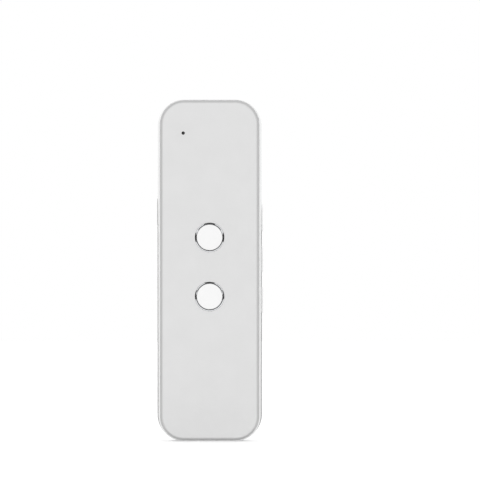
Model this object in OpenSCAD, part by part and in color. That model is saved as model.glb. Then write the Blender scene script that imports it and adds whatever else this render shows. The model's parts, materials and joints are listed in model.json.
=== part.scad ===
// Handheld voice translator. It stands upright on its flat bottom end: z runs up the body, the
// front face looks toward -Y, x = 0 is the centre of the width and y = 0 the middle of the thickness.
// Each piece is drawn in a view of its own side, where x runs across, y runs up the body and z
// comes out toward the person who looks at that side; facing() turns that view into place.

/* [Body] */
// Width of the body across the frame's bulging sides
body_w = 42.8; // [41:0.1:53]
// Height of the body, from end to end
body_h = 140; // [134:1:170]
// Thickness of the body, from the front face to the rear face
body_t = 12; // [11.5:0.25:15]
// Corner radius of the seats that the two covers lie in
cover_r = 10; // [8.5:0.1:12]
// Corner radius of the frame where it is widest
frame_r = 10.9; // [9.5:0.1:13]
// How far the frame's sides stand out beyond the covers' seats
side_bulge = 1; // [0.6:0.05:1.6]
// How far the frame's ends stand out beyond the covers' seats
end_bulge = 0.25; // [0.2:0.05:0.5]

/* [Covers] */
// Thickness of each cover plate
cover_t = 1.5; // [1.2:0.1:1.8]
// How much of a cover's edge stands above the frame
cover_rim = 1.1; // [0.9:0.05:1.3]
// Width of the shadow groove between a cover's edge and the frame
groove_w = 0.2; // [0.1:0.05:0.3]
// Depth of the shadow groove below the frame's rim
groove_d = 0.3; // [0.1:0.05:0.5]
// Width of the sloping edge round the front cover's face
edge_w = 1.4; // [1.3:0.1:1.6]
// Slope of that edge where it meets the frame, in degrees
edge_slope = 48; // [46:1:52]
// Radius of the edge round the rear cover's face
rear_edge = 0.4; // [0.3:0.1:0.8]
// Wall of the lip that each cover pushes into the frame
lip_t = 0.9; // [0.7:0.05:1.2]
// How far the lip reaches into the frame
lip_h = 1.2; // [1:0.1:1.6]
// Length of a snap hook on a lip
hook_len = 6; // [4:0.5:9]
// How far a snap hook stands out of its lip
hook_out = 0.35; // [0.25:0.05:0.5]
// Distance from the end of the body to the nearest side hooks
hook_inset = 24; // [18:1:30]
// Width of the stiffening ribs inside the covers
rib_w = 0.8; // [0.6:0.1:1.2]
// Height of the stiffening ribs inside the covers
rib_h = 0.8; // [0.4:0.1:1]

/* [Frame] */
// Wall of the frame where the covers sit on it
rim_wall = 1.2; // [1:0.05:1.5]
// Clearance between a lip and the frame
lip_gap = 0.1; // [0.05:0.05:0.2]
// Diameter of the lugs that carry the circuit board
lug_d = 4; // [3.6:0.1:4.4]
// Length of the lugs
lug_len = 2.9; // [2.4:0.1:3.2]
// Heights of the lugs up the body
lug_heights = [12, 45.5, 104.5, 124];

/* [Front buttons] */
// Diameter of a front button's cap
button_d = 10.5; // [9:0.1:12.6]
// Height of the upper button's centre
upper_button_z = 83.5; // [80:0.5:90]
// Height of the lower button's centre
lower_button_z = 59.3; // [55:0.5:62]
// Gap between a cap and its chrome ring
cap_gap = 0.15; // [0.1:0.05:0.25]
// Width of the chrome ring's visible face
ring_w = 0.55; // [0.45:0.05:0.9]
// How far the chrome ring stands above the front face
ring_proud = 0.25; // [0.15:0.05:0.4]
// How far a cap's edge stands above the front face
cap_proud = 0.15; // [0:0.05:0.4]
// Rise of a cap's dome above its edge
cap_dome = 0.3; // [0.1:0.05:0.6]
// Wall of a cap
cap_wall = 1.1; // [0.8:0.1:1.3]
// Thickness of the flange that holds a cap in the cover
flange_t = 0.6; // [0.5:0.05:0.8]
// Travel of a front button
button_travel = 0.3; // [0.2:0.05:0.4]

/* [Side keys] */
// Length of each of the three keys on the right
key_len = 11.1; // [9:0.1:13.4]
// Height of the middle key's centre on the right
key_z = 74.7; // [72:0.1:77]
// Distance between the centres of the right keys
key_pitch = 16.8; // [15.8:0.1:18]
// Length of the key on the left
left_key_len = 11.4; // [9:0.1:13.7]
// Height of the left key's centre
left_key_z = 94; // [88:0.5:95]
// Width of each key on the right
key_w = 2.4; // [2:0.1:2.9]
// Width of the key on the left
left_key_w = 6; // [2.4:0.1:6]
// How far the keys on the right stand out of the frame
key_proud = 0.4; // [0.2:0.05:0.8]
// How far the key on the left stands out of the frame
left_key_proud = 0.2; // [0:0.05:0.6]
// Clearance between a key and its slot
key_gap = 0.18; // [0.1:0.02:0.24]
// Travel of a side key
key_travel = 0.3; // [0.2:0.05:0.35]

/* [Sound] */
// Diameter of a hole in the speaker grille
grille_hole_d = 1.5; // [1:0.1:1.8]
// Height of the grille's centre
grille_z = 109.15; // [104:0.25:111]
// Diameter of the speaker
speaker_d = 23; // [21:0.5:27.6]
// Diameter of the microphone's hole in the front cover
mic_hole_d = 1.36; // [0.9:0.02:2]
// Distance of the microphone to the left of the centre line
mic_x = 10.8; // [9:0.1:12]
// Height of the microphone
mic_z = 126.2; // [123:0.1:127]

/* [Electronics] */
// Thickness of the circuit board
board_t = 1; // [0.8:0.1:1.2]
// Height of the circuit board's lower edge
board_bottom = 2.5; // [2:0.1:4]
// Height of the circuit board's upper edge
board_top = 132; // [131:0.5:133]
// Corner radius of the circuit board
board_r = 7; // [5:0.5:8]
// Height of the battery's lower edge
battery_z = 9; // [8:0.5:12]
// Length of the battery
battery_len = 62; // [52:1:76]
// Diameter of the board screws' shanks
screw_d = 1.5; // [1.2:0.1:1.8]

/* [Hidden] */
$fn = 64;

// Views: the angle turns a side's view into place
front = 0;
right = 90;
rear = 180;
left = 270;

plastic = "#dfdfdf";
frame_plastic = "#f2f2f2";
button_plastic = "#f7f7f7";
chrome = "#c9ccd0";
board_green = "#2f6b3d";
chip_black = "#2b2b2e";
tin = "#c4c4be";
rubber_grey = "#4c4c4e";
copper = "#b4713d";
gold = "#d8b45a";
foil = "#b9bcc1";
mesh_black = "#3a3a3c";
lead_red = "#b02a26";
lead_black = "#1f1f22";
nylon = "#efe9da";

// Levels above the middle of the body, as seen from the front or the rear
face = body_t / 2;
rim = face - cover_rim;
cover_back = face - cover_t;
lip_tip = rim - lip_h;

// The covers' seats in the frame, and the hollow inside them
seat_w = body_w - 2 * side_bulge;
seat_h = body_h - 2 * end_bulge;
inner_w = seat_w - 2 * rim_wall;
inner_h = seat_h - 2 * rim_wall;
inner_r = cover_r - rim_wall;
wall_in = inner_w / 2;
end_wall = end_bulge + rim_wall;

// The frame's land outside each groove, and how soon its ends reach their flat middle
groove_land = 0.15;
end_rise = 2;
// How far joined shapes of one piece run into each other
bond = 0.2;
front_ribs = [20, 42, 104.5, 115];
rear_ribs = [88, 93];
edge_steps = 8;
loft_rings = 12;
corner_steps = 12;

// The front cover's edge rises from a low foot as a flat slope, and a round blends it into the face
edge_r = cover_r - groove_w;
edge_foot = 0.1;
edge_round = (edge_w * tan(edge_slope) - cover_rim + edge_foot) / (1 / cos(edge_slope) - 1);
front_edge = concat(
    [[edge_r, rim + edge_foot]],
    arc([edge_r - edge_w, face - edge_round], [edge_round, edge_round], 90 - edge_slope, 90, edge_steps)
);
back_edge = arc([edge_r - rear_edge, face - rear_edge], [rear_edge, rear_edge], 0, 90, 4);

// A snap hook is a lead-in slope and then a land that catches in the frame's pocket
hook_start = lip_tip + 0.1;
hook_slope = 0.4;
hook_land = 0.2;
pocket_gap = 0.1;
pocket_spare = 0.3;

// The board's back face stands half a side switch in front of the middle, so that the keys'
// centre line is the middle of the body
side_switch_t = 1.8;
board_back = side_switch_t / 2;
board_front = board_back + board_t;
board_side_gap = 1.85;
board_w = inner_w - 2 * board_side_gap;
lug_inset = 3.55;
lug_x = wall_in - lug_inset;
pilot_gap = 0.05;
pilot_floor = 0.3;
screw_hole_gap = 0.15;
screw_head_d = 2.8;
screw_head_h = 0.7;
screw_head_edge = 0.5;
screw_head_rim = 0.2;
screw_point = 0.8;
screw_len = lug_len + board_t - 0.5;
cross_len = 1.6;
cross_w = 0.3;
cross_depth = 0.35;

// Front buttons
ring_in = button_d / 2 + cap_gap;
ring_out = ring_in + ring_w;
ring_seat = 0.5;
ring_sleeve = 0.3;
ring_crown = 0.12;
ring_fit = 0.05;
flange_gap = 0.1;
flange_r = button_d / 2 + 1.05;
flange_top = cover_back - flange_gap;
ear_out = 0.9;
ear_w = 1.8;
cap_edge = 0.2;
guide_gap = 0.3;
guide_wall = 0.8;
guide_h = 1.2;
stem_d = 3;
switch_w = 5.2;
switch_h = 0.8;
terminal_out = 0.8;
terminal_w = 0.7;
terminal_t = 0.25;
terminal_pitch = 3;
plunger_d = 2.4;
plunger_out = 0.35;
plunger_in = 0.1;
plunger_gap = 0.1;
switch_top = board_front + switch_h;
plunger_top = switch_top + plunger_out;

// Side keys
key_zs = [key_z + key_pitch, key_z, key_z - key_pitch];
key_edge = 0.35;
key_r = key_w / 2 - 0.05;
left_key_r = left_key_w / 5;
key_flange_t = 0.7;
key_flange_rim = 0.95;
key_flange_rim_w = 0.4;
key_flange_r = 0.6;
key_nub = 0.5;
key_nub_w = 1.4;
key_nub_len = 2.4;
key_flange_top = wall_in - 0.1;
key_flange_bottom = key_flange_top - key_flange_t;
side_plunger_top = key_flange_bottom - key_nub;
side_plunger_out = 0.7;
side_switch_top = side_plunger_top - side_plunger_out;
side_switch_depth = 3.35;
side_switch_len = 4.7;
side_plunger_w = 1;
side_plunger_len = 1.6;

// Battery bay, from the board's back to the rear cover
tape_t = 0.3;
battery_swell_gap = 0.5;
battery_side_gap = 0.35;
battery_w = 2 * (lug_x - lug_d / 2 - battery_side_gap);
battery_back = -board_back + tape_t;
battery_face = cover_back - battery_swell_gap;
battery_edge = 0.8;
battery_r = 1.5;
tape_len = 12;
cell_board_w = battery_w - 4;
cell_board_len = 4.5;
cell_board_t = 0.8;
cell_board_level = battery_back + 1.2;
guard_chip = [5, 2.4, 0.8];
lead_d = 0.8;
lead_pitch = 1.25;
lead_level = cell_board_level + cell_board_t / 2;
lead_from = battery_z + battery_len + cell_board_len;
lead_len = 4;
connector = [5, 3.4, 2.4];
connector_wall = 0.8;

// Speaker, from the rear cover inward
mesh_t = 0.1;
mesh_inset = 0.6;
gasket_t = 0.3;
gasket_w = 1.3;
speaker_r = speaker_d / 2;
speaker_front = cover_back - mesh_t - gasket_t;
speaker_gap = 0.2;
chamber_wall = 0.8;
chamber_h = 2.1;
basket_wall = 0.6;
basket_back = speaker_front - 2.7;
basket_rim = 1;
basket_step = 1.6;
cone_shelf = speaker_front - 0.5;
cone_ledge = 1.3;
cone_neck = basket_back + 1.25;
film = 0.16;
cone_rim = 0.5;
roll_r = 0.55;
roll_rise = 0.25;
coil_end = basket_back - 0.9;
tab_in = 1.2;
tab_w = 1.8;
tab_t = 0.8;
tab_level = speaker_front - 1.8;
magnet_d = 12.4;
magnet_t = 1.7;
pot_floor = 0.5;
coil_r = 3;
coil_t = 0.2;
coil_gap = 0.5;
speaker_lead_x = 1.5;
grille_columns = [
    [1.6, 6, 3.74], [-1.6, 6, 3.74], [4.42, 5, 3.13], [-4.42, 5, 3.13], [7.49, 3, 3.13], [-7.49, 3, 3.13]
];

// Microphone, from the front cover inward
mic_h = 1;
mic_top = board_front + mic_h;
mic_w = 3.8;
mic_len = 3;
mic_port_d = 0.6;
mic_port_depth = 0.3;
boot_d = 4.4;
boot_hole_d = 1.2;
collar_gap = 0.1;
collar_wall = 0.7;
collar_h = 1.1;

// Micro-USB socket on the back of the board
usb_w = 7.5;
usb_t = 2.6;
usb_len = 5.6;
usb_sheet = 0.25;
usb_chamfer = 0.95;
usb_gap = 0.4;
usb_opening_r = 1;
usb_y = -board_back + usb_t / 2;
usb_front = 0.9;
usb_back = 0.5;
insert_t = 1.2;
insert_face = usb_len - usb_back - insert_t;
tongue_w = 3.7;
tongue_t = 0.65;
tongue_from = 0.8;
tongue_level = -0.55;
contact_count = 5;
contact_pitch = 0.65;
contact_w = 0.4;
contact_t = 0.08;
contact_inset = 0.25;

// Chips on the front of the board: the place of each, and its width, height and thickness
can_z = 31;
can = [21, 17, 1.3];
can_wall = 0.2;
can_roof = 0.2;
processor_x = -4.4;
processor = [9, 9, 0.8];
memory_x = 5.6;
memory = [6, 8, 0.75];
charger_place = [-7, board_bottom + 8.5];
charger = [4, 4, 0.85];
inductor_place = [3, board_bottom + 8.5];
inductor = [4, 4, 1];
inductor_core_d = 3.4;
inductor_core_h = 1.4;
amplifier_place = [-3, 109.5];
amplifier = [4, 4, 0.8];
crystal_place = [5, 110];
crystal = [3.2, 2.5, 0.7];
antenna_place = [6.5, board_top - 2.2];
antenna = [7, 2, 0.9];
capacitor = [0.8, 1.6, 0.8];
across = [2.2, 0];
up = [0, 2.4];
capacitor_rows = [
    [[-8, can_z + 14], across, 5], [[-12, 106], up, 4], [[9, board_bottom + 5.5], up, 3]
];

// Turns a side's own view into place
module facing(side) {
    rotate([90, 0, side]) children();
}

// Points of an elliptical arc about a centre
function arc(centre, radii, from, to, steps) = [
    for (i = [0:steps]) let (a = from + (to - from) * i / steps)
        [centre.x + radii.x * cos(a), centre.y + radii.y * sin(a)]
];

// Sweeps a profile round a rounded rectangle that stands on y = 0. The profile's x runs outward
// from the corners' centres and its y becomes the height above the sheet.
module around(w, h, r) {
    across = w - 2 * r;
    up = h - 2 * r;
    corners = [[across / 2, r + up], [-across / 2, r + up], [-across / 2, r], [across / 2, r]];
    for (i = [0:3])
        translate([corners[i].x, corners[i].y, 0]) {
            rotate([0, 0, 90 * i]) rotate_extrude(angle = 90) children();
            rotate([90, 0, 90 * i]) linear_extrude(i % 2 == 0 ? up : across) children();
        }
}

// A rounded rectangle that stands on y = 0
module rounded_outline(w, h, r) {
    translate([-w / 2, r]) square([w, h - 2 * r]);
    translate([r - w / 2, 0]) square([w - 2 * r, h]);
    for (x = [r - w / 2, w / 2 - r], y = [r, h - r])
        translate([x, y]) circle(r);
}

// The same outline as a straight-walled block
module rounded_block(w, h, r, from, to) {
    translate([0, 0, from]) linear_extrude(to - from) rounded_outline(w, h, r);
}

// A rounded rectangle whose top edge is rounded by an ellipse
module soft_block(w, h, r, from, to, edge) {
    around(w, h, r) polygon(concat(
        [[0, from], [r, from]],
        arc([r - edge.x, to - edge.y], edge, 0, 90, edge_steps),
        [[0, to]]
    ));
    translate([r - w / 2, r, from]) cube([w - 2 * r, h - 2 * r, to - from]);
}

// A rectangle between two corners
module square_from(low, high) {
    translate(low) square([high.x - low.x, high.y - low.y]);
}

// A block on its base, centred across and up
module chip(w, h, from, height) {
    translate([-w / 2, -h / 2, from]) cube([w, h, height]);
}

// A part that sits flat on the front of the board
module on_board(place, size) {
    translate([place.x, place.y, 0]) chip(size.x, size.y, board_front, size.z);
}

// A tube about z
module tube(outer_r, inner_r, from, to) {
    translate([0, 0, from]) difference() {
        cylinder(h = to - from, r = outer_r);
        translate([0, 0, -1]) cylinder(h = to - from + 2, r = inner_r);
    }
}

// The places of the snap hooks along the lip: x, y and the way they look
hook_places = [
    for (s = [0, 180], y = [hook_inset, body_h / 2, body_h - hook_inset])
        [(s == 0 ? 1 : -1) * (wall_in - lip_gap), y, s],
    [0, body_h - end_wall - lip_gap, 90],
    [0, end_wall + lip_gap, 270]
];

// One snap hook: a lead-in slope and a flat catch
module snap_hook() {
    catch = hook_start + hook_slope;
    rotate([90, 0, 0]) translate([0, 0, -hook_len / 2]) linear_extrude(hook_len) polygon([
        [-lip_t / 2, hook_start], [0, hook_start], [hook_out, catch],
        [hook_out, catch + hook_land], [-lip_t / 2, catch + hook_land]
    ]);
}

// The pocket in the frame that a snap hook drops into
module hook_pocket() {
    pocket_len = hook_len + 2 * pocket_spare;
    pocket_h = hook_slope + hook_land + 2 * pocket_gap;
    translate([-lip_t, -pocket_len / 2, hook_start - pocket_gap])
        cube([lip_t + hook_out + pocket_gap, pocket_len, pocket_h]);
}

// A cover plate: a flat seat on the frame, a lip with snap hooks inside it, and an edge whose
// outline is given from the seat to the face
module cover_plate(edge) {
    lip_r = cover_r - rim_wall - lip_gap;
    translate([0, end_bulge, 0]) {
        around(seat_w, seat_h, cover_r) polygon(concat(
            [[0, cover_back], [lip_r - lip_t, cover_back], [lip_r - lip_t, lip_tip], [lip_r, lip_tip],
                [lip_r, rim], [edge_r, rim]],
            edge,
            [[0, face]]
        ));
        translate([cover_r - seat_w / 2, cover_r, cover_back])
            cube([seat_w - 2 * cover_r, seat_h - 2 * cover_r, cover_t]);
    }
    for (p = hook_places)
        translate([p.x, p.y, 0]) rotate([0, 0, p.z]) snap_hook();
}

// A stiffening rib across a cover, from one lip to the other
module cross_rib(y) {
    translate([-wall_in + lip_t, y - rib_w / 2, cover_back - rib_h])
        cube([2 * (wall_in - lip_t), rib_w, rib_h + bond]);
}

// A guide round a front button's flange, with two notches for its ears
module button_guide() {
    guide_in = flange_r + guide_gap;
    difference() {
        tube(guide_in + guide_wall, guide_in, cover_back - guide_h, cover_back + bond);
        chip(2 * (guide_in + guide_wall + 1), ear_w + guide_gap, cover_back - guide_h - 1, guide_h + 1);
    }
}

// The stepped hole that a chrome ring sits in
module ring_hole() {
    translate([0, 0, cover_back - 1]) cylinder(h = cover_t + 2, r = ring_in + ring_sleeve + ring_fit);
    translate([0, 0, face - ring_seat]) cylinder(h = ring_seat + 1, r = ring_out + ring_fit);
}

module front_cover() {
    collar_in = boot_d / 2 + collar_gap;
    color(plastic) facing(front) difference() {
        union() {
            cover_plate(front_edge);
            for (z = [upper_button_z, lower_button_z])
                translate([0, z, 0]) button_guide();
            translate([-mic_x, mic_z, 0])
                tube(collar_in + collar_wall, collar_in, cover_back - collar_h, cover_back + bond);
            for (z = front_ribs)
                cross_rib(z);
        }
        for (z = [upper_button_z, lower_button_z])
            translate([0, z, 0]) ring_hole();
        translate([-mic_x, mic_z, cover_back - 1]) cylinder(h = cover_t + 2, d = mic_hole_d);
    }
}

module rear_cover() {
    chamber_in = speaker_r + speaker_gap;
    color(plastic) facing(rear) difference() {
        union() {
            cover_plate(back_edge);
            translate([0, grille_z, 0])
                tube(chamber_in + chamber_wall, chamber_in, cover_back - chamber_h, cover_back + bond);
            for (z = rear_ribs)
                cross_rib(z);
        }
        for (c = grille_columns, i = [0:c.y - 1])
            translate([c.x, grille_z + (i - (c.y - 1) / 2) * c.z, cover_back - 1])
                cylinder(h = cover_t + 2, d = grille_hole_d);
    }
}

// The frame's outline at one level: f is 0 where it meets a cover and 1 where it is widest, and
// the ends reach their full length sooner than the sides, so that they are flat in the middle
function frame_outline(y, f) =
    let (
        r = cover_r + (frame_r - cover_r) * f,
        across = seat_w / 2 + groove_land + (side_bulge - groove_land) * f - r,
        end_out = groove_land + (end_bulge - groove_land) * min(1, end_rise * f),
        low = end_bulge - end_out + r
    ) [
        for (q = [0:3], k = [0:corner_steps])
            let (a = 90 * (q + k / corner_steps), sx = q == 0 || q == 3 ? 1 : -1)
                [sx * across + r * cos(a), y, (q > 1 ? low : body_h - low) + r * sin(a)]
    ];

// The frame's outer body: rounded rectangles that swell by half an ellipse from cover to cover
module frame_loft() {
    count = 4 * (corner_steps + 1);
    points = [
        for (k = [0:loft_rings]) let (a = 180 * k / loft_rings)
            each frame_outline(-rim * cos(a), sin(a))
    ];
    sides = [
        for (k = [0:loft_rings - 1], i = [0:count - 1])
            let (p = k * count + i, q = k * count + (i + 1) % count)
                each [[p, q, q + count], [p, q + count, p + count]]
    ];
    front_end = [for (i = [0:count - 1]) count - 1 - i];
    rear_end = [for (i = [0:count - 1]) loft_rings * count + i];
    polyhedron(points = points, faces = concat(sides, [front_end, rear_end]));
}

// A lug behind the board with the web that carries it from the frame's wall
module board_lug() {
    translate([0, 0, board_back - lug_len]) {
        cylinder(h = lug_len, d = lug_d);
        translate([0, -lug_d / 2, 0]) cube([lug_inset + rim_wall / 2, lug_d, lug_len]);
    }
}

// Repeats its children at the board screws, each with its x pointing to the nearest wall
module at_lugs() {
    for (z = lug_heights, s = [0, 180])
        translate([(s == 0 ? 1 : -1) * lug_x, z, 0]) rotate([0, 0, s]) children();
}

// The slot in the frame's wall round a side key
module key_slot(w, len, r) {
    translate([0, -len / 2 - key_gap, wall_in - 1]) linear_extrude(body_w)
        rounded_outline(w + 2 * key_gap, len + 2 * key_gap, r + key_gap);
}

module middle_frame() {
    color(frame_plastic) difference() {
        union() {
            difference() {
                frame_loft();
                facing(front) translate([0, end_wall, 0])
                    rounded_block(inner_w, inner_h, inner_r, -body_t, body_t);
            }
            facing(front) at_lugs() board_lug();
        }
        facing(front) at_lugs() translate([0, 0, board_back - lug_len + pilot_floor])
            cylinder(h = lug_len, d = screw_d + 2 * pilot_gap);
        for (side = [front, rear])
            facing(side) translate([0, end_bulge, 0]) around(seat_w, seat_h, cover_r)
                square_from([cover_r - groove_w, rim - groove_d], [cover_r, rim + 1]);
        for (side = [front, rear], p = hook_places)
            facing(side) translate([p.x, p.y, 0]) rotate([0, 0, p.z])
                translate([lip_gap, 0, 0]) hook_pocket();
        for (z = key_zs)
            facing(right) translate([0, z, 0]) key_slot(key_w, key_len, key_r);
        facing(left) translate([0, left_key_z, 0]) key_slot(left_key_w, left_key_len, left_key_r);
        translate([0, usb_y - usb_t / 2 - usb_gap, -1]) linear_extrude(end_wall + 2)
            rounded_outline(usb_w + 2 * usb_gap, usb_t + 2 * usb_gap, usb_opening_r);
    }
}

// A chrome ring: the visible face on a thin sleeve that lines the hole
module button_ring(z) {
    top = face + ring_proud;
    color(chrome) facing(front) translate([0, z, 0]) rotate_extrude() polygon(concat(
        [[ring_in, cover_back], [ring_in + ring_sleeve, cover_back],
            [ring_in + ring_sleeve, face - ring_seat], [ring_out, face - ring_seat]],
        arc([ring_out - ring_w / 2, top - ring_crown], [ring_w / 2, ring_crown], 0, 180, edge_steps)
    ));
}

// A front button's cap: a domed shell with a flange, two ears and a stem that meets its switch
module button_cap(z) {
    cap_r = button_d / 2;
    edge = face + cap_proud;
    dome_r = (cap_r * cap_r + cap_dome * cap_dome) / (2 * cap_dome);
    color(button_plastic) facing(front) translate([0, z, 0]) {
        rotate_extrude() difference() {
            union() {
                square_from([0, flange_top - flange_t], [cap_r, edge - cap_edge]);
                square_from([0, flange_top - flange_t], [flange_r, flange_top]);
                polygon(concat(
                    [[0, flange_top]],
                    arc([cap_r - cap_edge, edge - cap_edge], [cap_edge, cap_edge], 0, 80, 4),
                    [for (i = [1:edge_steps]) let (x = (cap_r - cap_edge) * (1 - i / edge_steps))
                        [x, edge + cap_dome - dome_r + sqrt(dome_r * dome_r - x * x)]]
                ));
            }
            square_from([stem_d / 2, flange_top - flange_t - 1], [cap_r - cap_wall, edge - cap_wall]);
        }
        for (s = [0, 180])
            rotate([0, 0, s]) translate([flange_r - bond, -ear_w / 2, flange_top - flange_t])
                cube([ear_out + bond, ear_w, flange_t]);
        translate([0, 0, plunger_top]) cylinder(h = flange_top - plunger_top, d = stem_d);
    }
}

// A side key: a rounded bar with a flange behind the wall and a nub that meets its switch
module side_key(side, z, size, r, proud) {
    flange_len = size.y + 2 * key_flange_rim;
    flange_w = size.x + 2 * key_flange_rim_w;
    key_face = body_w / 2 + proud;
    facing(side) translate([0, z, 0]) {
        translate([0, -size.y / 2, 0])
            soft_block(size.x, size.y, r, key_flange_top - bond, key_face, [key_edge, key_edge]);
        translate([0, -flange_len / 2, 0])
            rounded_block(flange_w, flange_len, key_flange_r, key_flange_bottom, key_flange_top);
        chip(key_nub_w, key_nub_len, side_plunger_top, key_nub + bond);
    }
}

module right_side_key(z) {
    color(button_plastic) side_key(right, z, [key_w, key_len], key_r, key_proud);
}

module left_side_key() {
    color(plastic) side_key(left, left_key_z, [left_key_w, left_key_len], left_key_r, left_key_proud);
}

module main_board() {
    color(board_green) facing(front) difference() {
        translate([0, board_bottom, 0])
            rounded_block(board_w, board_top - board_bottom, board_r, board_back, board_front);
        at_lugs() translate([0, 0, board_back - 1])
            cylinder(h = board_t + 2, d = screw_d + 2 * screw_hole_gap);
    }
}

// The board screws: pan heads with a cross, shanks with a point
module board_screws() {
    color(tin) facing(front) at_lugs() translate([0, 0, board_front]) difference() {
        rotate_extrude() polygon(concat(
            [[0, -screw_len], [screw_d / 2, -screw_len + screw_point], [screw_d / 2, 0],
                [screw_head_d / 2, 0]],
            arc([screw_head_d / 2 - screw_head_edge, screw_head_rim],
                [screw_head_edge, screw_head_h - screw_head_rim], 0, 90, 6),
            [[0, screw_head_h]]
        ));
        for (a = [0, 90])
            rotate([0, 0, a]) chip(cross_len, cross_w, screw_head_h - cross_depth, 1);
    }
}

// A tact switch under a front button: the base with its well and four terminals
module switch_base(z) {
    well = plunger_in + button_travel + plunger_gap;
    color(tin) facing(front) translate([0, z, 0]) difference() {
        union() {
            chip(switch_w, switch_w, board_front, switch_h);
            for (y = [-terminal_pitch / 2, terminal_pitch / 2])
                translate([0, y, 0]) chip(switch_w + 2 * terminal_out, terminal_w, board_front, terminal_t);
        }
        translate([0, 0, switch_top - well]) cylinder(h = well + 1, d = plunger_d + 2 * plunger_gap);
    }
}

module switch_plunger(z) {
    color(chip_black) facing(front) translate([0, z, switch_top - plunger_in])
        cylinder(h = plunger_in + plunger_out, d = plunger_d);
}

// A side switch on the back of the board's edge, with the well that its plunger slides in
module side_switch(side, z) {
    well = plunger_in + key_travel + plunger_gap;
    color(tin) facing(side) translate([0, z, 0]) difference() {
        chip(side_switch_t, side_switch_len, side_switch_top - side_switch_depth, side_switch_depth);
        chip(side_plunger_w + 2 * plunger_gap, side_plunger_len + 2 * plunger_gap,
            side_switch_top - well, well + 1);
    }
}

module side_plunger(side, z) {
    color(chip_black) facing(side) translate([0, z, 0])
        chip(side_plunger_w, side_plunger_len, side_switch_top - plunger_in, plunger_in + side_plunger_out);
}

// The flat battery, a soft pouch whose edges are rounded
module battery_cell() {
    color(foil) facing(rear) translate([0, battery_z, 0])
        soft_block(battery_w, battery_len, battery_r, battery_back, battery_face,
            [battery_edge, battery_edge]);
}

module battery_tape() {
    color(nylon) facing(rear) for (y = [battery_len * 0.2, battery_len * 0.8])
        translate([0, battery_z + y, 0]) chip(cell_board_w, tape_len, -board_back, tape_t);
}

// The protection board folded onto the cell's upper end
module battery_protection_board() {
    color(board_green) facing(rear) translate([0, battery_z + battery_len + cell_board_len / 2, 0]) {
        chip(cell_board_w, cell_board_len, cell_board_level, cell_board_t);
        chip(guard_chip.x, guard_chip.y, cell_board_level + cell_board_t, guard_chip.z);
    }
}

module battery_leads() {
    facing(rear) for (s = [-1, 1])
        color(s < 0 ? lead_red : lead_black) translate([s * lead_pitch / 2, lead_from, lead_level])
            rotate([-90, 0, 0]) cylinder(h = lead_len, d = lead_d, $fn = 24);
}

// The two-way connector that the leads end in
module battery_connector() {
    color(nylon) facing(rear) translate([0, lead_from + lead_len + connector.y / 2, 0]) difference() {
        chip(connector.x, connector.y, -board_back, connector.z);
        translate([0, connector_wall, 0])
            chip(connector.x - 2 * connector_wall, connector.y,
                -board_back + connector_wall, connector_wall);
    }
}

module speaker_mesh() {
    color(mesh_black) facing(rear) translate([0, grille_z, cover_back - mesh_t])
        cylinder(h = mesh_t, r = speaker_r - mesh_inset);
}

module speaker_gasket() {
    color(rubber_grey) facing(rear) translate([0, grille_z, 0])
        tube(speaker_r, speaker_r - gasket_w, speaker_front, speaker_front + gasket_t);
}

// The speaker's basket: a stepped cup with a shelf for the cone and a terminal tab
module speaker_basket() {
    floor_r = magnet_d / 2 + basket_step;
    hole_r = coil_r + basket_step;
    floor_top = basket_back + basket_wall;
    rim_back = speaker_front - basket_rim;
    ledge_r = speaker_r - cone_ledge;
    color("#6f7176") facing(rear) translate([0, grille_z, 0]) {
        rotate_extrude() polygon([
            [speaker_r, speaker_front], [speaker_r, rim_back], [floor_r, basket_back],
            [hole_r, basket_back], [hole_r, floor_top], [floor_r - basket_wall / 3, floor_top],
            [ledge_r, rim_back], [ledge_r, cone_shelf],
            [speaker_r - basket_wall, cone_shelf], [speaker_r - basket_wall, speaker_front]
        ]);
        translate([0, speaker_r - tab_in, 0]) chip(5, tab_w, tab_level, tab_t);
    }
}

// The cone: its dome, its slope and the roll round its edge are one film, with the voice coil behind
module speaker_cone() {
    rest = cone_shelf + film / 2;
    rim_out = speaker_r - basket_wall - 0.05;
    rim_in = rim_out - cone_rim;
    roll_in = rim_in - 2 * roll_r;
    middle = concat(
        [[0, cone_neck + 0.6], [coil_r / 2, cone_neck + 0.5], [coil_r, cone_neck + 0.1], [roll_in, rest]],
        arc([roll_in + roll_r, rest], [roll_r, roll_rise], 160, 20, 6),
        [[rim_in, rest], [rim_out, rest]]
    );
    color("#2c2c2e") facing(rear) translate([0, grille_z, 0]) {
        rotate_extrude() polygon(concat(
            [for (p = middle) p + [0, film / 2]],
            [for (i = [len(middle) - 1:-1:0]) middle[i] - [0, film / 2]]
        ));
        tube(coil_r + coil_t / 2, coil_r - coil_t / 2, coil_end, cone_neck + 0.1);
    }
}

// The magnet: a steel pot with the gap that the voice coil moves in
module speaker_magnet() {
    color("#8d9094") facing(rear) translate([0, grille_z, 0]) difference() {
        translate([0, 0, basket_back - magnet_t]) cylinder(h = magnet_t, d = magnet_d);
        tube(coil_r + coil_gap, coil_r - coil_gap, basket_back - magnet_t + pot_floor, basket_back + 1);
    }
}

// Two short leads from the speaker's tab down to the board
module speaker_leads() {
    facing(rear) for (s = [-1, 1])
        color(s < 0 ? lead_red : lead_black)
            translate([s * speaker_lead_x, grille_z + speaker_r - tab_in, -board_back])
                cylinder(h = tab_level + board_back, d = lead_d, $fn = 24);
}

module microphone() {
    color(tin) facing(front) translate([-mic_x, mic_z, 0]) difference() {
        chip(mic_w, mic_len, board_front, mic_h);
        translate([0, 0, mic_top - mic_port_depth]) cylinder(h = 1, d = mic_port_d);
    }
}

module mic_boot() {
    color(rubber_grey) facing(front) translate([-mic_x, mic_z, 0])
        tube(boot_d / 2, boot_hole_d / 2, mic_top, cover_back - mesh_t);
}

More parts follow.
